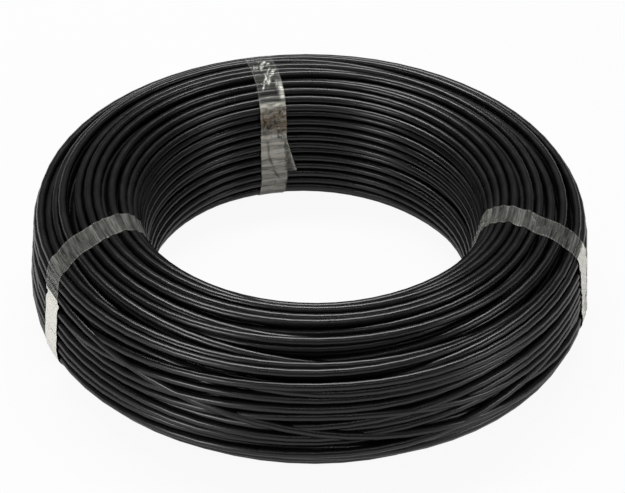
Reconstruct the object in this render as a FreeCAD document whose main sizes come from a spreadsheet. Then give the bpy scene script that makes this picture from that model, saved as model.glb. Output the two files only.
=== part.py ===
import FreeCAD, Part
import os
import Sketcher
from FreeCAD import Vector

# Coil of insulated electrical wire, lying flat.
# Z is up, the coil's axis is the Z axis, and the floor is at Z = 0.
# The wire coil is one turned solid. Its outline is scalloped, so the outermost
# turns of wire show all round. Three bands of clear tape hold the turns together.

doc = FreeCAD.newDocument("wire_coil")
sizes = doc.addObject("Spreadsheet::Sheet", "Sizes")

SIZES = [
    ("outer_radius", 120.0, "axis to the outermost turn"),
    ("section_width", 52.6, "bore to outside, at the foot of the coil"),
    ("section_height", 60.0, "lowest turn to highest turn"),
    ("wire_radius", 1.8, "over the insulation"),
    ("corner_radius", 14.4, "rounding of the section, through the wire centres"),
    ("inner_lean", 9.0, "degrees that the bore opens towards the top, each side"),
    ("outer_lean", 6.0, "degrees that the outside leans in towards the top"),
    ("tape_width", 12.0, "width of the tape"),
    ("tape_thickness", 0.15, "three wraps of 0.05 film"),
    ("tape_gap", 0.05, "tape to the crests of the turns"),
    ("tape_sweep", 18.0, "degrees turned for a band before its edges are trimmed"),
    ("left_turn", 204.5, "direction of the left band, degrees from +X"),
    ("right_turn", -11.5, "direction of the right band, degrees from +X"),
    ("back_turn", 104.5, "direction of the back band, degrees from +X"),
]
for row, (name, value, note) in enumerate(SIZES, start=1):
    sizes.set("A%d" % row, name)
    sizes.set("B%d" % row, str(value))
    sizes.set("C%d" % row, note)
    sizes.setAlias("B%d" % row, name)
doc.recompute()


def named(text):
    """The expression with every size written as a cell of the sheet."""
    for name, value, note in SIZES:
        text = text.replace(name, "Sizes." + name)
    return text


def value_of(text):
    return float(sizes.evalExpression(text.replace("Sizes.", "")))


# The section's four rounding centres, as distances from the axis and heights.
REACH = "(wire_radius + corner_radius)"
LOW = "(tape_thickness + tape_gap + %s)" % REACH
HIGH = "(tape_thickness + tape_gap + section_height - %s)" % REACH
RISE = "(section_height - 2 * %s)" % REACH
INNER_LOW = "(outer_radius - section_width + %s)" % REACH
OUTER_LOW = "(outer_radius - %s)" % REACH
INNER_HIGH = "(%s + %s * tan(inner_lean * 1 deg))" % (INNER_LOW, RISE)
OUTER_HIGH = "(%s - %s * tan(outer_lean * 1 deg))" % (OUTER_LOW, RISE)

# Each corner: its centre, and the directions where its arc starts and ends (degrees),
# going round from the foot of the outer side: outside, top, bore, underside.
CORNERS = [
    (OUTER_LOW, LOW, "-90", "outer_lean"),
    (OUTER_HIGH, HIGH, "outer_lean", "90"),
    (INNER_HIGH, HIGH, "90", "(180 - inner_lean)"),
    (INNER_LOW, LOW, "(180 - inner_lean)", "270"),
]
# Turns along each corner's arc, and along the straight run that follows it.
ARC_TURNS = [7, 6, 6, 7]
RUN_TURNS = [8, 4, 8, 6]


def at_angle(centre, trig, reach, angle):
    return "%s + %s * %s(%s * 1 deg)" % (centre, reach, trig, angle)


def turn_centres():
    """Expressions for the centre of every turn in the coil's outline, in order."""
    centres = []
    for corner in range(4):
        out, up, start, end = CORNERS[corner]
        out_next, up_next, start_next, end_next = CORNERS[(corner + 1) % 4]
        arc_turns = ARC_TURNS[corner]
        for turn in range(arc_turns):
            angle = "(%s + (%s - %s) * %d / %d)" % (start, end, start, turn, arc_turns)
            centres.append((
                at_angle(out, "cos", "corner_radius", angle),
                at_angle(up, "sin", "corner_radius", angle),
            ))
        run_turns = RUN_TURNS[corner]
        for turn in range(run_turns):
            along = "(%s + (%s - %s) * %d / %d)"
            centres.append((
                at_angle(along % (out, out_next, out, turn, run_turns), "cos", "corner_radius", end),
                at_angle(along % (up, up_next, up, turn, run_turns), "sin", "corner_radius", end),
            ))
    return centres


def start_sketch(body, name, plane):
    sketch = body.newObject("Sketcher::SketchObject", name)
    for feature in body.Origin.OriginFeatures:
        if feature.Role == plane:
            sketch.AttachmentSupport = [(feature, "")]
    sketch.MapMode = "FlatFace"
    return sketch


def size_it(sketch, kind, places, text, name):
    """Add a dimension and bind it to the sizes."""
    number = sketch.addConstraint(Sketcher.Constraint(kind, *places, value_of(named(text))))
    sketch.renameConstraint(number, name)
    sketch.setExpression("Constraints." + name, named(text))


def new_body(name, label):
    body = doc.addObject("PartDesign::Body", name)
    body.Label = label
    return body


def turn_about_axis(body, sketch, name):
    revolution = body.newObject("PartDesign::Revolution", name)
    revolution.Profile = sketch
    revolution.ReferenceAxis = (sketch, ["V_Axis"])
    sketch.Visibility = False
    return revolution


# The wire coil: an outline of arcs, one for each turn that shows, turned about the axis.
coil = new_body("Coil", "wire_coil")
coil.Placement = FreeCAD.Placement(Vector(0, 0, 0), FreeCAD.Rotation(Vector(0, 0, 1), 0))
outline = start_sketch(coil, "CoilOutline", "XZ_Plane")
turns = turn_centres()
points = [Vector(value_of(named(out)), value_of(named(up)), 0) for out, up in turns]
middle = Vector(0, 0, 0)
for point in points:
    middle = middle + point * (1.0 / len(points))
radius = value_of("wire_radius")


def cusp(first, second):
    """Where two neighbouring turns cross, on the side away from the section's middle."""
    half = (second - first) * 0.5
    outward = Vector(half.y, -half.x, 0).normalize()
    reach = (radius * radius - half.Length * half.Length) ** 0.5
    return first + half + outward * reach


cusps = [cusp(points[i], points[(i + 1) % len(points)]) for i in range(len(points))]
for number, point in enumerate(points):
    crest = point + (point - middle).normalize() * radius
    outline.addGeometry(Part.Arc(cusps[number - 1], crest, cusps[number]), False)
for number in range(len(points)):
    following = (number + 1) % len(points)
    outline.addConstraint(Sketcher.Constraint("Coincident", number, 2, following, 1))
for number, (out, up) in enumerate(turns):
    size_it(outline, "DistanceX", (-1, 1, number, 3), out, "turn_out_%d" % number)
    size_it(outline, "DistanceY", (-1, 1, number, 3), up, "turn_up_%d" % number)
for number in range(1, len(turns)):
    outline.addConstraint(Sketcher.Constraint("Equal", 0, number))
size_it(outline, "Radius", (0,), "wire_radius", "wire_size")
coil_turned = turn_about_axis(coil, outline, "CoilTurned")
coil_turned.Angle = 360.0


def tape_loop(sketch, offset, name):
    """A closed loop outside the turns, at a distance from the rounding centres' arcs."""
    first = sketch.GeometryCount
    reach = "(corner_radius + wire_radius + tape_gap + %s)" % offset
    ends = []
    for out, up, start, end in CORNERS:
        centre = Vector(value_of(named(out)), value_of(named(up)), 0)
        size = value_of(named(reach))
        start_angle = FreeCAD.Units.Quantity("%f deg" % value_of(named("1 * " + start)))
        end_angle = FreeCAD.Units.Quantity("%f deg" % value_of(named("1 * " + end)))
        circle = Part.Circle(centre, Vector(0, 0, 1), size)
        arc = Part.ArcOfCircle(circle, start_angle.getValueAs("rad").Value, end_angle.getValueAs("rad").Value)
        sketch.addGeometry(arc, False)
        ends.append((arc.StartPoint, arc.EndPoint))
    for corner in range(4):
        run = Part.LineSegment(ends[corner][1], ends[(corner + 1) % 4][0])
        sketch.addGeometry(run, False)
    for corner in range(4):
        arc = first + corner
        run = first + 4 + corner
        next_arc = first + (corner + 1) % 4
        sketch.addConstraint(Sketcher.Constraint("Tangent", arc, 2, run, 1))
        sketch.addConstraint(Sketcher.Constraint("Tangent", run, 2, next_arc, 1))
    for corner, (out, up, start, end) in enumerate(CORNERS):
        arc = first + corner
        size_it(sketch, "DistanceX", (-1, 1, arc, 3), out, "%s_out_%d" % (name, corner))
        size_it(sketch, "DistanceY", (-1, 1, arc, 3), up, "%s_up_%d" % (name, corner))
        size_it(sketch, "Radius", (arc,), reach, "%s_radius_%d" % (name, corner))


def trim_outline(sketch, side, name):
    """A rectangle that takes away everything beyond one edge of the tape."""
    first = sketch.GeometryCount
    near = "(outer_radius / 4)"
    far = "(outer_radius * 1.25)"
    edge = "(tape_width / 2)"
    beyond = "(tape_width * 3)"
    near_x = value_of(named(near))
    far_x = value_of(named(far))
    edge_y = side * value_of(named(edge))
    beyond_y = side * value_of(named(beyond))
    corners = [(near_x, edge_y), (far_x, edge_y), (far_x, beyond_y), (near_x, beyond_y)]
    for number in range(4):
        here = Vector(*corners[number], 0)
        there = Vector(*corners[(number + 1) % 4], 0)
        sketch.addGeometry(Part.LineSegment(here, there), False)
    for number in range(4):
        following = first + (number + 1) % 4
        sketch.addConstraint(Sketcher.Constraint("Coincident", first + number, 2, following, 1))
        direction = "Horizontal" if number % 2 == 0 else "Vertical"
        sketch.addConstraint(Sketcher.Constraint(direction, first + number))
    edge_places = (-1, 1, first, 1) if side > 0 else (first, 1, -1, 1)
    beyond_places = (-1, 1, first + 2, 1) if side > 0 else (first + 2, 1, -1, 1)
    size_it(sketch, "DistanceX", (-1, 1, first, 1), near, name + "_near")
    size_it(sketch, "DistanceX", (-1, 1, first + 2, 1), far, name + "_far")
    size_it(sketch, "DistanceY", edge_places, edge, name + "_edge")
    size_it(sketch, "DistanceY", beyond_places, beyond, name + "_beyond")


def tape_band(name, label, turn_size):
    """One band of tape, wrapped round the section and trimmed to the tape's width."""
    band = new_body(name, label)
    profile = start_sketch(band, name + "Outline", "XZ_Plane")
    tape_loop(profile, "0", "inside")
    tape_loop(profile, "tape_thickness", "outside")
    turned = turn_about_axis(band, profile, name + "Turned")
    turned.setExpression("Angle", named("tape_sweep"))
    turned.Midplane = True
    trim = start_sketch(band, name + "Edges", "XY_Plane")
    trim_outline(trim, 1, "left")
    trim_outline(trim, -1, "right")
    pocket = band.newObject("PartDesign::Pocket", name + "Trimmed")
    pocket.Profile = trim
    pocket.Type = "ThroughAll"
    pocket.Midplane = True
    trim.Visibility = False
    band.Placement = FreeCAD.Placement(Vector(0, 0, 0), FreeCAD.Rotation(Vector(0, 0, 1), 0))
    band.setExpression("Placement.Rotation.Angle", named(turn_size))
    return band


bands = [
    tape_band("LeftBand", "tape_band_left", "left_turn"),
    tape_band("RightBand", "tape_band_right", "right_turn"),
    tape_band("BackBand", "tape_band_back", "back_turn"),
]
doc.recompute()

for item in doc.Objects:
    for word in ("Invalid", "Error"):
        if word in item.State:
            raise RuntimeError(item.Name + " did not build")
for body in [coil] + bands:
    if body.Shape.isNull() or not body.Shape.isValid():
        raise RuntimeError(body.Label + " is not a sound solid")

os.makedirs("parts", exist_ok=True)
for body in [coil] + bands:
    body.Shape.exportStep("parts/" + body.Label + ".step")
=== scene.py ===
import math
import bpy
import numpy as np
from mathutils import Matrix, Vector


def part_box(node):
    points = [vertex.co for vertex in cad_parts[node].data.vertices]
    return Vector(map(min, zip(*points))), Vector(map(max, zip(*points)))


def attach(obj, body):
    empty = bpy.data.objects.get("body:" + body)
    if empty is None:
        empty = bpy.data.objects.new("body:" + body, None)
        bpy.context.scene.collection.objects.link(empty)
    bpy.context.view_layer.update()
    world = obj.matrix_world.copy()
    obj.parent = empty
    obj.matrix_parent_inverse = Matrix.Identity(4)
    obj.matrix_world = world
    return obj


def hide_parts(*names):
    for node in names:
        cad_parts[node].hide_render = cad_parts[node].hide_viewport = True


# A coil of black building wire, about 112 m long, lying flat and held by three bands of
# clear tape. The wire is one tube that runs round the ring turn after turn.

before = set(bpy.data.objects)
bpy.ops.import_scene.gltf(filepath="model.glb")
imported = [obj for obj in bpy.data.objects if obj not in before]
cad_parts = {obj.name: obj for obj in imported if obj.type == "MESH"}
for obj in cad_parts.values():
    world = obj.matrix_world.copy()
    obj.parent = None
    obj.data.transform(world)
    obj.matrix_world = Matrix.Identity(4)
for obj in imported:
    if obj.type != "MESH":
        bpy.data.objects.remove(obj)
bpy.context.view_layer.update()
for item in bpy.context.selected_objects:
    item.select_set(False)

MM = 0.001

# ---------------------------------------------------------------- sizes, in millimetres

coil_low, coil_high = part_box("wire_coil")
OUTER = (coil_high[0] - coil_low[0]) / 2 / MM
HEIGHT = (coil_high[2] - coil_low[2]) / MM
LIFT = coil_low[2] / MM
WIRE = 3.6  # thickness over the insulation
WIDTH = 52.6  # of the ring, from bore to outside, at its foot
ROUNDING = 14.4  # of the section's corners, at the centres of the outermost turns
INNER_LEAN = math.radians(9)
OUTER_LEAN = math.radians(6)
TURNS = 190
STATIONS = 32  # places on each turn at which the wire's route is worked out


def direction_of(node):
    """The direction, from the axis, in which a tape band lies."""
    low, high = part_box(node)
    return math.atan2((low[1] + high[1]) / 2, (low[0] + high[0]) / 2)


BANDS = ["tape_band_left", "tape_band_right", "tape_band_back"]
BAND_TURN = {node: direction_of(node) for node in BANDS}

# ---------------------------------------------------------------- the ring's section

reach = WIRE / 2 + ROUNDING
rise = HEIGHT - 2 * reach
CORNERS = np.array([
    (OUTER - reach, LIFT + reach),
    (OUTER - reach - rise * math.tan(OUTER_LEAN), LIFT + HEIGHT - reach),
    (OUTER - WIDTH + reach + rise * math.tan(INNER_LEAN), LIFT + HEIGHT - reach),
    (OUTER - WIDTH + reach, LIFT + reach),
])


def depth_outside(points):
    """How far points lie outside the section's four-cornered core, and which way is out."""
    nearest = np.full(points.shape[:-1], 1e9)
    away = np.zeros_like(points)
    inside = np.ones(points.shape[:-1], bool)
    for corner in range(4):
        start = CORNERS[corner]
        run = CORNERS[(corner + 1) % 4] - start
        length = math.hypot(*run)
        along = run / length
        outward = np.array([along[1], -along[0]])
        offset = points - start
        distance = np.clip((offset * along).sum(-1), 0, length)
        gap = offset - distance[..., None] * along
        size = np.hypot(gap[..., 0], gap[..., 1])
        inside &= (offset * outward).sum(-1) <= 0
        closer = size < nearest
        nearest = np.where(closer, size, nearest)
        unit = gap / np.maximum(size, 1e-9)[..., None]
        away = np.where(closer[..., None], unit, away)
    away = np.where(inside[..., None], -away, away)
    return np.where(inside, -nearest, nearest), away


# ---------------------------------------------------------------- winding the wire

BACK = BAND_TURN["tape_band_back"]
SEED = 3
NEAT_TURNS = 30  # wound first, in perfect order
SCATTER = 1.4  # how many places a turn strays from its order after those
LOOSE_TURNS = 120  # from this one on, the turns stray further
LOOSE_SCATTER = 6.0
CROSSING_START = (0.05, 0.4)  # share of a turn after which the wire moves over to its next place
CROSSING_SPAN = (0.35, 0.55)  # share of a turn that the move takes
WANDER = 2.5  # how far the wire strays sideways
HELD_IN = 0.25  # how far the tape bands press the outer turns into the section
SPRUNG_OUT = 0.7  # how far they spring out again between the bands
SUNK = 2.2  # how far loose turns sink in there
GROWTH = 1.08  # the turns are pushed apart to this many thicknesses at first
PUSH = 0.25  # share of an overlap by which one round moves a turn, before smoothing
HASTE = 1.6  # how much further the smoothed move then goes
ROUNDS = 220


def places_in_winding_order():
    """Places for the turns in the section: columns from the bore outwards, up then down."""
    tight, loose = 0.9, 1.4
    for attempt in range(40):
        spread = (tight + loose) / 2
        step = WIRE * spread
        columns = []
        out = OUTER - WIDTH + WIRE / 2
        while out <= OUTER - WIRE / 2 + 0.5:
            odd = len(columns) % 2
            first = LIFT + WIRE / 2 + odd * step / 2
            up = np.arange(first, LIFT + HEIGHT - WIRE / 2 + 0.3, step)
            column = np.stack([np.full_like(up, out), up], -1)
            depth, away = depth_outside(column)
            column = column[depth <= ROUNDING + 0.35 * WIRE]
            columns.append(column[::-1] if odd else column)
            out += step * 0.87
        places = np.concatenate(columns)
        if len(places) > TURNS:
            tight = spread
        else:
            loose = spread
    return places


def smoothed_along(field, width):
    """Average along the wire, over so many stations each way."""
    half = int(width * 3)
    weight = np.exp(-0.5 * (np.arange(-half, half + 1) / width) ** 2)
    weight /= weight.sum()
    ends = [np.repeat(field[:1], half, 0), field, np.repeat(field[-1:], half, 0)]
    padded = np.concatenate(ends)
    return np.stack([np.convolve(padded[:, axis], weight, "valid") for axis in range(2)], -1)


def slackness(turn):
    """0 under a tape band and 1 half-way between two bands."""
    nearest = np.full(np.shape(turn), math.pi)
    for band_turn in BAND_TURN.values():
        gap = np.abs((turn - band_turn + math.pi) % (2 * math.pi) - math.pi)
        nearest = np.minimum(nearest, gap)
    return np.clip(nearest / math.radians(50), 0, 1)


def wound_turns():
    """Distance from the axis and height of the wire's centre, for each turn and station."""
    random = np.random.default_rng(SEED)
    places = places_in_winding_order()
    count = len(places)
    order = np.arange(count)
    scatter = np.where(order < NEAT_TURNS, 0, np.where(order < LOOSE_TURNS, SCATTER, LOOSE_SCATTER))
    places = places[np.argsort(order + random.normal(0, 1, count) * scatter)]
    wire = np.zeros((count, STATIONS, 2))
    for turn in range(count):
        here = places[turn]
        after = places[min(turn + 1, count - 1)]
        start = random.uniform(*CROSSING_START)
        span = random.uniform(*CROSSING_SPAN)
        crossing = np.clip((np.arange(STATIONS) / STATIONS - start) / span, 0, 1)
        crossing = crossing * crossing * (3 - 2 * crossing)
        wire[turn] = here + (after - here) * crossing[:, None]
    wire = wire.reshape(-1, 2)
    wire += smoothed_along(random.normal(0, 1.0, wire.shape), 5) * WANDER
    wire = smoothed_along(wire, 3.0)
    station_turn = BACK + 2 * math.pi * np.arange(STATIONS) / STATIONS
    slack = np.tile(slackness(station_turn), count)
    sinking = smoothed_along(random.normal(0, 1, wire.shape), 4)[:, 0]
    sinking = np.clip(sinking / sinking.std(), 0, 2) / 2
    sinking *= np.repeat(order >= LOOSE_TURNS, STATIONS)
    limit = ROUNDING - HELD_IN + (SPRUNG_OUT - SUNK * sinking) * slack
    for step in range(ROUNDS):
        done = step / ROUNDS
        wanted = WIRE * (GROWTH if done < 0.75 else 1 + (GROWTH - 1) * 0.3)
        stacked = wire.reshape(count, STATIONS, 2).transpose(1, 0, 2)
        apart = stacked[:, :, None, :] - stacked[:, None, :, :]
        distance = np.sqrt((apart ** 2).sum(-1)) + 1e-9
        push = np.clip(wanted - distance, 0, None)
        push[:, order, order] = 0
        move = (apart * (push / distance * PUSH)[..., None]).sum(2)
        move = move.transpose(1, 0, 2).reshape(-1, 2)
        stiffness = 3.0 if done < 0.6 else (2.0 if done < 0.85 else 1.2)
        wire = wire + HASTE * smoothed_along(move, stiffness)
        if step % 4 == 0:
            wire = 0.7 * wire + 0.3 * smoothed_along(wire, 2.0)
        depth, away = depth_outside(wire)
        wire -= away * np.clip(depth - limit, 0, None)[:, None]
        wire[:, 1] = np.maximum(wire[:, 1], LIFT + WIRE / 2)
    return wire.reshape(count, STATIONS, 2)


def new_piece(name, mesh):
    piece = bpy.data.objects.new(name, mesh)
    bpy.context.collection.objects.link(piece)
    return piece


def wire_piece(turns):
    """One tube along the whole wire, with both its ends under the rear band."""
    line = turns.reshape(-1, 2)
    line = np.concatenate([line, line[-1:]])
    step = 2 * math.pi / STATIONS
    pull_in = (6 + 2 * math.cos(step)) / 8
    turn = BACK + step * np.arange(len(line))
    out = line[:, 0] / pull_in
    points = np.stack([out * np.cos(turn), out * np.sin(turn), line[:, 1]], -1) * MM
    curve = bpy.data.curves.new("wire_route", "CURVE")
    curve.dimensions = "3D"
    curve.twist_mode = "Z_UP"
    curve.resolution_u = 2
    curve.bevel_depth = WIRE / 2 * MM
    curve.bevel_resolution = 2
    curve.use_fill_caps = True
    spline = curve.splines.new("NURBS")
    spline.points.add(len(points) - 1)
    homogeneous = np.concatenate([points, np.ones((len(points), 1))], -1)
    spline.points.foreach_set("co", homogeneous.ravel())
    spline.order_u = 3
    spline.use_endpoint_u = True
    route = new_piece("wire_route", curve)
    bpy.context.view_layer.update()
    mesh = bpy.data.meshes.new_from_object(route)
    bpy.data.objects.remove(route)
    bpy.data.curves.remove(curve)
    mesh.name = "black_wire"
    mesh.polygons.foreach_set("use_smooth", [True] * len(mesh.polygons))
    return new_piece("black_wire", mesh)


# ---------------------------------------------------------------- clear tape

TAPE = 12.0  # width
FILM = 0.12  # thickness, drawn thicker than the real 0.05
LAP_GAP = 0.16  # from one lap to the next
LAPS = 1.35
GRID_STEP = 0.42  # between the film's cross lines
ROW_STEP = 0.5  # between its lengthwise lines
BRIDGED = 2.1  # half the widest valley that the film spans
SAG = 0.75  # the most that it dips between two crests


def outline_table():
    """Places along the section's outline, through the outer turns, with the way out."""
    rows = []
    for corner in range(4):
        before = CORNERS[corner] - CORNERS[corner - 1]
        after = CORNERS[(corner + 1) % 4] - CORNERS[corner]
        first = math.atan2(before[1], before[0]) - math.pi / 2
        last = math.atan2(after[1], after[0]) - math.pi / 2
        last = first + (last - first) % (2 * math.pi)
        for angle in np.linspace(first, last, 60):
            way = np.array([math.cos(angle), math.sin(angle)])
            rows.append((*(CORNERS[corner] + ROUNDING * way), angle))
        run_start = CORNERS[corner] + ROUNDING * way
        run = after
        for part in np.linspace(0, 1, 60)[1:-1]:
            rows.append((*(run_start + run * part), last))
    table = np.array(rows)
    table = np.concatenate([table, table[:1] + [[0, 0, 2 * math.pi]]])
    angle = np.unwrap(table[:, 2])
    steps = np.hypot(np.diff(table[:, 0]), np.diff(table[:, 1]))
    length = np.concatenate([[0], np.cumsum(steps)])
    return length, table[:, 0], table[:, 1], angle


OUTLINE = outline_table()
GIRTH = OUTLINE[0][-1]


def on_outline(travel):
    """Base place and outward angle at a distance round the outline, in millimetres."""
    length, out, up, angle = OUTLINE
    wrapped = travel % GIRTH
    return [np.interp(wrapped, length, column) for column in (out, up, angle)]


def wires_at(turns, turn):
    """Every turn's centre in the section plane at each of some directions."""
    flat = turns.reshape(-1, 2)
    station = ((turn - BACK) / (2 * math.pi) % 1) * STATIONS
    index = np.arange(len(turns) + 1)[None, :] * STATIONS + station[:, None]
    low = np.minimum(np.floor(index).astype(int), len(flat) - 1)
    high = np.minimum(low + 1, len(flat) - 1)
    part = (index - np.floor(index))[..., None]
    centres = flat[low] * (1 - part) + flat[high] * part
    # Film runs on over the wire's last end, so that end counts for one station more.
    centres[station >= 1, -1] = centres[station >= 1, 0]
    return centres


def crest_height(turns, band_turn, travel, across):
    """Height of the wires' crests over the outline, for points of one lengthwise line."""
    out, up, angle = on_outline(travel)
    turn = band_turn + np.arcsin(across / (out + WIRE / 2 * np.cos(angle)))
    centres = wires_at(turns, turn)
    offset = centres - np.stack([out, up], -1)[:, None, :]
    normal = np.stack([np.cos(angle), np.sin(angle)], -1)[:, None, :]
    tangent = np.stack([-np.sin(angle), np.cos(angle)], -1)[:, None, :]
    side = (offset * tangent).sum(-1)
    over = (offset * normal).sum(-1)
    half = np.sqrt(np.clip((WIRE / 2) ** 2 - side ** 2, 0, None))
    height = np.where(np.abs(side) < WIRE / 2, over + half, -9)
    return np.maximum(height.max(1), WIRE / 2 - 1.6)


def running(values, reach_mm, kind):
    """Maximum or mean over a stretch of the closed outline each way."""
    count = max(1, round(reach_mm / GRID_STEP))
    shifted = [np.roll(values, shift) for shift in range(-count, count + 1)]
    return np.max(shifted, 0) if kind == "max" else np.mean(shifted, 0)


def tape_surface(turns, band_turn):
    """Height of the taut film over the outline, and its gap from the wires, on an even grid."""
    count = round(GIRTH / GRID_STEP)
    travel = np.arange(count) * GIRTH / count
    lines = np.linspace(-TAPE / 2, TAPE / 2, 13)
    outside = np.clip(np.cos(on_outline(travel)[2]) * 2 - 0.8, 0, 1)
    heights = []
    gaps = []
    for across in lines:
        crests = crest_height(turns, band_turn, travel, across)
        bridged = running(running(crests, BRIDGED, "max"), 1.0, "mean")
        dipped = running(np.maximum(crests, bridged - SAG), 0.5, "mean")
        film = bridged + (dipped - bridged) * (0.65 - 0.5 * outside)
        heights.append(np.maximum(film, crests + 0.02))
        gaps.append(heights[-1] - crests)
    return np.stack([np.array(heights), np.array(gaps)])


def creases(random, count, first, last, size):
    """Random creases between two distances round the band.

    Each is its distance along and across the film, slant, width, length and height.
    """
    marks = []
    for number in range(count):
        marks.append((
            random.uniform(first, last),
            random.uniform(-TAPE / 2, TAPE / 2),
            random.uniform(0, math.pi),
            random.uniform(0.35, 0.9),
            random.uniform(2.0, 6.0),
            random.uniform(0.3, 1.0) * size,
        ))
    return marks


def crease_height(marks, travel, across):
    height = np.zeros_like(travel)
    for place, side, slant, width, length, size in marks:
        along = (travel - place) * math.cos(slant) + (across - side) * math.sin(slant)
        beside = (across - side) * math.cos(slant) - (travel - place) * math.sin(slant)
        height += size * np.exp(-(beside / width) ** 2 - (along / length) ** 2)
    return height


def tape_piece(name, turns, band_turn, start, drift, slant, lean, marks, milk,
               ear=None, aged=None, clear_spots=(), painted_glint_spots=()):
    """A band of film wound round the section a bit more than once, then given its thickness.

    drift moves the second lap sideways, slant moves the film on the outside away from that in
    the bore, and lean moves its top away from its foot. An ear is the place, length and reach
    of a loose flag. Aged is the place and length of a stain, and how brown the film is beyond.
    """
    surface = tape_surface(turns, band_turn)
    steps = round(GIRTH * LAPS / GRID_STEP)
    rows = round(TAPE / ROW_STEP)
    bpy.ops.mesh.primitive_grid_add(x_subdivisions=steps, y_subdivisions=rows, size=2)
    piece = bpy.context.object
    piece.name = name
    mesh = piece.data
    mesh.name = name
    spots = np.zeros(len(mesh.vertices) * 3)
    mesh.vertices.foreach_get("co", spots)
    spots = spots.reshape(-1, 3)
    along = (spots[:, 0] + 1) / 2 * GIRTH * LAPS
    across = spots[:, 1] * TAPE / 2
    travel = start + along
    column = (travel % GIRTH) / GIRTH * surface.shape[2]
    low = np.floor(column).astype(int)
    part = column - low
    line = (across / TAPE + 0.5) * (surface.shape[1] - 1)
    line_low = np.minimum(np.floor(line).astype(int), surface.shape[1] - 2)
    line_part = line - line_low
    film = np.zeros((2, len(spots)))
    for row_step, row_weight in ((0, 1 - line_part), (1, line_part)):
        for step, weight in ((0, 1 - part), (1, part)):
            picked = surface[:, line_low + row_step, (low + step) % surface.shape[2]]
            film += row_weight * weight * picked
    height, gap = film
    height += 0.05 + LAP_GAP * along / GIRTH + crease_height(marks, along, across)
    out, up, angle = on_outline(travel)
    side = across + drift * np.clip(along / GIRTH - 1, 0, 1) / (LAPS - 1)
    side += slant * (out - (OUTER - WIDTH / 2)) / (WIDTH / 2)
    side += lean * (up - HEIGHT / 2) / (HEIGHT / 2)
    flag = np.zeros(len(along))
    if ear:
        place, length, reach_side = ear
        grown = (along - place) / length
        flag = np.clip(grown, 0, 1) * (grown < 1) * np.clip(-across / TAPE * 8 - 3, 0, 1)
        side -= reach_side * flag
        height += 1.2 * flag
    reach_out = out + height * np.cos(angle)
    reach_up = np.maximum(up + height * np.sin(angle), 0.02 + FILM)
    # The film crosses the ring square to it, so it bows round the ring like the wires do.
    ring = np.sqrt(np.maximum(reach_out ** 2 - side ** 2, 0))
    cos_turn, sin_turn = math.cos(band_turn), math.sin(band_turn)
    placed = np.stack([
        ring * cos_turn - side * sin_turn,
        ring * sin_turn + side * cos_turn,
        reach_up,
    ], -1) * MM
    mesh.vertices.foreach_set("co", placed.ravel())
    milk_and_painted_highlights = mesh.attributes.new("milk", "FLOAT", "POINT")
    # Painted highlight: the film's edges are made milkier so they show as thin bright lines, more so
    # along the loose flag.
    painted_edge_highlight = (0.1 + 0.5 * (flag > 0)) * np.clip((np.abs(across) - TAPE / 2 + 0.6) / 0.6, 0, 1)
    # The first lap is pressed clear where the second one lies on it, and so is the loose flag.
    pressed = np.where(along < GIRTH * (LAPS - 1), 0.1, 1.0) * (1 - 0.9 * (flag > 0))
    cleared = pressed * (1 - np.clip(crease_height(clear_spots, along, across), 0, 0.95))
    # Painted glints: the listed white spots raise the milk, so the film shows bright reflections of
    # the lights there.
    painted_glint_whiteness = np.clip(crease_height(painted_glint_spots, along, across), 0, 1)
    milkiness_and_painted_highlights = milk(travel % GIRTH / GIRTH, gap) * cleared + painted_edge_highlight + painted_glint_whiteness
    milk_and_painted_highlights.data.foreach_set("value", milkiness_and_painted_highlights)
    stain = mesh.attributes.new("stain", "FLOAT", "POINT")
    brown = np.zeros(len(along))
    if aged:
        place, length, beyond = aged
        brown = np.clip(1.2 - np.abs(along - place) / length, beyond * (along > place), 0.9)
    stain.data.foreach_set("value", brown)
    strip = mesh.uv_layers.active
    loops = np.zeros(len(mesh.loops), int)
    mesh.loops.foreach_get("vertex_index", loops)
    strip.data.foreach_set("uv", np.stack([along[loops], across[loops]], -1).ravel() * MM)
    bpy.ops.object.mode_set(mode="EDIT")
    bpy.ops.mesh.select_all(action="SELECT")
    bpy.ops.mesh.normals_make_consistent(inside=False)
    bpy.ops.object.mode_set(mode="OBJECT")
    thickness = piece.modifiers.new("film", "SOLIDIFY")
    thickness.thickness = FILM * MM
    thickness.offset = 1
    bpy.ops.object.modifier_apply(modifier="film")
    bpy.ops.object.shade_smooth()
    piece.location = (0, 0, 0)
    piece.select_set(False)
    return piece


# ---------------------------------------------------------------- materials


def linear(code, alpha=1.0):
    """An sRGB hex colour as Blender's linear values."""
    parts = [int(code[first:first + 2], 16) / 255 for first in (0, 2, 4)]
    shades = [part / 12.92 if part <= 0.04045 else ((part + 0.055) / 1.055) ** 2.4 for part in parts]
    return (*shades, alpha)


def add_node(material, kind, settings=None, links=None):
    """Add a node, set its properties or its inputs' values, and link its inputs."""
    node = material.node_tree.nodes.new(kind)
    for name, value in (settings or {}).items():
        if isinstance(name, str) and hasattr(node, name):
            setattr(node, name, value)
        else:
            node.inputs[name].default_value = value
    for name, socket in (links or {}).items():
        material.node_tree.links.new(socket, node.inputs[name])
    return node


def new_material(name):
    material = bpy.data.materials.new(name)
    material.use_nodes = True
    material.node_tree.nodes.clear()
    return material


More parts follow.
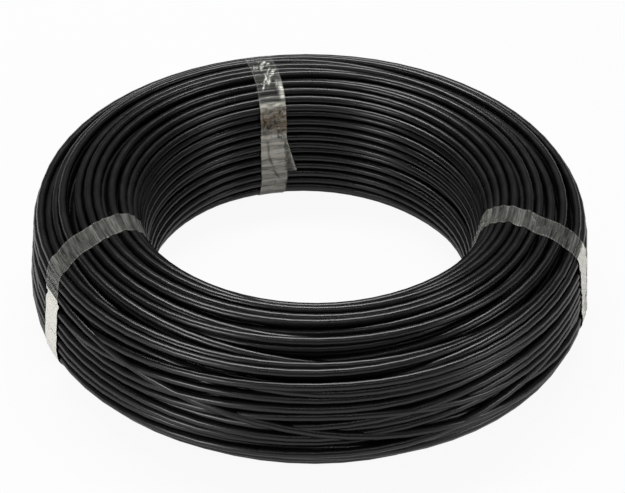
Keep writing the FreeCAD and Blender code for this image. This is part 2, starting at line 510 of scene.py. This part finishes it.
def soft_black_pvc():
    """Extruded PVC insulation: satin black, duller in patches where it has rubbed."""
    material = new_material("extruded_black_pvc")
    place = add_node(material, "ShaderNodeTexCoord").outputs["Object"]
    # Rubbed patches are about 11 mm across, with finer marks in them.
    rub = add_node(material, "ShaderNodeTexNoise", {"Scale": 90.0, "Detail": 4.0}, {"Vector": place})
    worn = add_node(material, "ShaderNodeMapRange", {1: 0.35, 2: 0.7, 3: 0.26, 4: 0.33},
                    {0: rub.outputs["Fac"]})
    tone = add_node(material, "ShaderNodeMix", {"data_type": "RGBA"}, {0: rub.outputs["Fac"]})
    tone.inputs[6].default_value = linear("060606")
    tone.inputs[7].default_value = linear("0c0c0c")
    shader = add_node(material, "ShaderNodeBsdfPrincipled", {"IOR": 1.53}, {
        "Base Color": tone.outputs[2], "Roughness": worn.outputs[0]})
    add_node(material, "ShaderNodeOutputMaterial", None, {"Surface": shader.outputs[0]})
    return material


def clear_tape():
    """Clear polypropylene tape: glossy film, milky where air is trapped under its glue; the milk
    attribute also carries painted glints and painted edge highlights.
    """
    material = new_material("clear_polypropylene_tape")
    milk = add_node(material, "ShaderNodeAttribute", {"attribute_name": "milk"}).outputs["Fac"]
    stain = add_node(material, "ShaderNodeAttribute", {"attribute_name": "stain"}).outputs["Fac"]
    place = add_node(material, "ShaderNodeTexCoord").outputs["Object"]
    # Air under the glue lies in streaks along the wires, 0.7 mm wide and 9 mm long.
    strip = add_node(material, "ShaderNodeUVMap", {"uv_map": "UVMap"}).outputs[0]
    drawn = add_node(material, "ShaderNodeMapping", {"Scale": (1500.0, 110.0, 1.0)},
                     {"Vector": strip})
    pockets = add_node(material, "ShaderNodeTexNoise",
                       {"Scale": 1.0, "Detail": 3.0, "Roughness": 0.6}, {"Vector": drawn.outputs[0]})
    patchy = add_node(material, "ShaderNodeMapRange", {1: 0.34, 2: 0.68, 3: 0.35, 4: 1.9},
                      {0: pockets.outputs["Fac"]})
    # The milk here also holds the painted glints and painted edge highlights, which whiten the
    # film's colour and opacity.
    milk_and_painted_highlights = add_node(material, "ShaderNodeMath", {"operation": "MULTIPLY", "use_clamp": True},
                     {0: milk, 1: patchy.outputs[0]})
    cream = add_node(material, "ShaderNodeMix", {"data_type": "RGBA"}, {0: milk_and_painted_highlights.outputs[0]})
    cream.inputs[6].default_value = linear("d9dad2")
    cream.inputs[7].default_value = linear("fbf9ee")
    dirt = add_node(material, "ShaderNodeMath", {"operation": "MULTIPLY", "use_clamp": True},
                    {0: stain, 1: patchy.outputs[0]})
    tone = add_node(material, "ShaderNodeMix", {"data_type": "RGBA"},
                    {0: dirt.outputs[0], 6: cream.outputs[2]})
    tone.inputs[7].default_value = linear("7a6b58")
    # Thin film buckles in facets 2.4 mm across, which break up its reflections.
    facets = add_node(material, "ShaderNodeTexVoronoi",
                      {"Scale": 420.0, "feature": "SMOOTH_F1"}, {"Vector": place})
    buckled = add_node(material, "ShaderNodeBump", {"Strength": 0.55, "Distance": 0.0005},
                       {"Height": facets.outputs["Distance"]})
    shader = add_node(material, "ShaderNodeBsdfPrincipled", {"IOR": 1.49, "Roughness": 0.12}, {
        "Base Color": tone.outputs[2], "Alpha": milk_and_painted_highlights.outputs[0], "Normal": buckled.outputs[0]})
    add_node(material, "ShaderNodeOutputMaterial", None, {"Surface": shader.outputs[0]})
    return material


def seen_white(material, rays, direct, mirrored):
    """How white the backdrop shows: to the camera and through film, and in reflections."""
    through = add_node(material, "ShaderNodeMath", {"operation": "MAXIMUM"}, {
        0: rays.outputs["Is Camera Ray"], 1: rays.outputs["Is Transmission Ray"]})
    gloss = add_node(material, "ShaderNodeMath", {"operation": "MULTIPLY", 1: mirrored},
                     {0: rays.outputs["Is Glossy Ray"]})
    return add_node(material, "ShaderNodeMath", {"operation": "MULTIPLY_ADD", 1: direct},
                    {0: through.outputs[0], 2: gloss.outputs[0]})


def plain_floor():
    """Matt white paper sweep, shown white to the camera, with the coil's shadow kept."""
    material = new_material("white_paper_sweep")
    rays = add_node(material, "ShaderNodeLightPath")
    paper = add_node(material, "ShaderNodeBsdfDiffuse", {"Color": linear("e6e6e6")})
    glow = add_node(material, "ShaderNodeEmission", {"Color": (1, 1, 1, 1), "Strength": 1.0})
    seen = seen_white(material, rays, 0.93, 0.3)
    mix = add_node(material, "ShaderNodeMixShader", None,
                   {0: seen.outputs[0], 1: paper.outputs[0], 2: glow.outputs[0]})
    add_node(material, "ShaderNodeOutputMaterial", None, {"Surface": mix.outputs[0]})
    return material


# ---------------------------------------------------------------- the pieces

turns = wound_turns()
wire = wire_piece(turns)
wire.data.materials.clear()
wire.data.materials.append(soft_black_pvc())
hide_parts("wire_coil")
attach(wire, "root")

TAPE_FILM = clear_tape()
random = np.random.default_rng(11)


def share_at(corner_index):
    """How far round the outline a corner's middle is, from 0 to 1."""
    length = OUTLINE[0]
    step = (len(length) - 1) // 4
    return length[corner_index * step + 30] / GIRTH


FOOT_OUT, TOP_OUT, TOP_IN, FOOT_IN = [share_at(corner) for corner in range(4)]


def band_milk(outside, stuck, top, bore, clear_down=2):
    """How milky the film is on the ring's outside, its top and its bore.

    The outside is milky up to the share stuck of its height, and the bore from clear_down
    millimetres below its edge.
    """
    soft = 2 / GIRTH
    change = FOOT_OUT + stuck * (TOP_OUT - FOOT_OUT)
    bore_top = TOP_IN + clear_down / GIRTH
    places = [0, change - soft, change, bore_top - soft, bore_top, FOOT_IN, 1]
    levels = [outside, outside, top, top, bore, bore, outside]

    def milk(share, gap):
        level = np.interp(share, places, levels)
        level *= 0.6 + 0.8 * np.clip(gap / 0.9, 0, 1)
        return np.clip(level, 0.01, 4.0)
    return milk


def crease_across(place, side, size):
    """A crease that lies along the wires, across part of the band."""
    return (place, side, math.pi / 2, 0.5, 2.2, size)


LEFT = tape_piece("tape_left", turns, BAND_TURN["tape_band_left"], FOOT_IN * GIRTH,
                  drift=0.6, slant=9.0, lean=0.0, marks=creases(random, 24, 0, GIRTH, 0.2),
                  milk=band_milk(4.0, 0.7, 0.085, 0.13))
RIGHT = tape_piece("tape_right", turns, BAND_TURN["tape_band_right"], FOOT_IN * GIRTH,
                   drift=-0.8, slant=-8.0, lean=-6.0, marks=creases(random, 110, 0, GIRTH, 0.5),
                   milk=band_milk(4.0, 0.9, 0.08, 0.14))
CRUMPLE = GIRTH + 12  # the rear band is crumpled and stained 12 mm down its second lap
crumpled = creases(random, 50, CRUMPLE - 9, CRUMPLE + 9, 0.8)
crumpled += creases(random, 30, 0, GIRTH, 0.2)
crumpled += [crease_across(GIRTH - 1, side, 0.7) for side in (-4, -1.5, 2)]
# A dark curled fold runs down the bore below the stain.
curl = [(CRUMPLE + 13, 2.7, -0.12, 0.35, 4.5, 0.95), (CRUMPLE + 20, 1.4, -0.35, 0.35, 4.0, 0.95),
        (CRUMPLE + 26, -0.8, -0.6, 0.4, 2.5, 0.95)]
crumpled += curl
spots = [(CRUMPLE + random.uniform(-6, 8), random.uniform(-5, 5), random.uniform(0, math.pi),
          random.uniform(0.2, 0.5), random.uniform(0.4, 1.6), 0.95) for number in range(40)]
spots += curl
# Painted glints: white marks in the film's milkiness stand in for reflections of the lights, as
# slanted nicks on the top, a bright patch at the lap's turned-up end and a small one in the crumple.
painted_glints = [(GIRTH - random.uniform(3, 24), random.uniform(-4.5, 4.5), random.uniform(0.1, 0.8),
          random.uniform(0.15, 0.4), random.uniform(0.8, 2.2), random.uniform(0.4, 1.0))
         for number in range(26)]
painted_glints += [(GIRTH - 1, -4.9, 0.0, 1.0, 3.0, 1.3), (GIRTH + 1.5, -1, math.pi / 2, 0.2, 6.0, 0.4)]
painted_glints += [(CRUMPLE + 20, -0.9, math.pi / 2, 0.4, 1.4, 0.9)]
REAR = tape_piece("tape_back", turns, BAND_TURN["tape_band_back"], TOP_IN * GIRTH,
                  drift=0.8, slant=0.0, lean=0.0, marks=crumpled,
                  milk=band_milk(0.3, 0.9, 0.04, 0.8, 5),
                  ear=(CRUMPLE + 9, 16.0, 4.4), aged=(CRUMPLE, 8.0, 0.3), clear_spots=spots,
                  painted_glint_spots=painted_glints)
for piece, node in ((LEFT, "tape_band_left"), (RIGHT, "tape_band_right"), (REAR, "tape_band_back")):
    piece.data.materials.clear()
    piece.data.materials.append(TAPE_FILM)
    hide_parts(node)
    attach(piece, "root")

# ---------------------------------------------------------------- floor, light and camera

bpy.ops.mesh.primitive_plane_add(size=8, location=(0, 0, 0))
floor = bpy.context.object
floor.name = "floor"
floor.data.materials.append(plain_floor())
floor.select_set(False)


def soft_light(name, place, target, size, power):
    lamp = bpy.data.lights.new(name, "AREA")
    lamp.shape = "RECTANGLE"
    lamp.size = size[0]
    lamp.size_y = size[1]
    lamp.energy = power
    light = bpy.data.objects.new(name, lamp)
    bpy.context.collection.objects.link(light)
    light.location = place
    light.rotation_euler = (Vector(target) - Vector(place)).to_track_quat("-Z", "Y").to_euler()
    return light


# Each light: its place, what it faces, its two sides in metres, and its power in watts.
soft_light("overhead_softbox", (-0.1, 0.45, 1.2), (0, 0, 0), (1.1, 0.28), 13)
soft_light("left_card", (-1.0, -1.1, 0.45), (0, 0, 0.03), (0.5, 0.45), 8)
soft_light("front_strip", (0.1, -0.85, 1.15), (0, 0, 0.03), (1.3, 0.06), 1.6)
soft_light("right_card", (1.3, -0.5, 0.5), (0, 0, 0.03), (0.4, 0.4), 3)

world = bpy.data.worlds.new("white_studio")
bpy.context.scene.world = world
world.use_nodes = True
world.node_tree.nodes.clear()
rays = add_node(world, "ShaderNodeLightPath")
room = add_node(world, "ShaderNodeBackground", {"Color": (1, 1, 1, 1), "Strength": 0.07})
white = add_node(world, "ShaderNodeBackground", {"Color": (1, 1, 1, 1), "Strength": 1.0})
shown = seen_white(world, rays, 1.0, 0.05)
seen = add_node(world, "ShaderNodeMixShader", None,
                {0: shown.outputs[0], 1: room.outputs[0], 2: white.outputs[0]})
add_node(world, "ShaderNodeOutputWorld", None, {"Surface": seen.outputs[0]})

ELEVATION = math.radians(36.4)
DISTANCE = 0.79
ROLL = math.radians(1.4)
camera_data = bpy.data.cameras.new("camera")
camera = bpy.data.objects.new("camera", camera_data)
bpy.context.collection.objects.link(camera)
aim = Vector((0, 0, (LIFT + HEIGHT / 2) * MM))
camera.location = aim + DISTANCE * Vector((0, -math.cos(ELEVATION), math.sin(ELEVATION)))
camera.rotation_euler = (math.pi / 2 - ELEVATION, 0, 0)
camera.rotation_euler.rotate_axis("Z", ROLL)
camera_data.sensor_width = 36
camera_data.lens = 106.0
camera_data.shift_x = 0.0034
camera_data.shift_y = -0.0127
camera_data.clip_end = 20
bpy.context.scene.camera = camera

scene = bpy.context.scene
scene.view_settings.view_transform = "Standard"
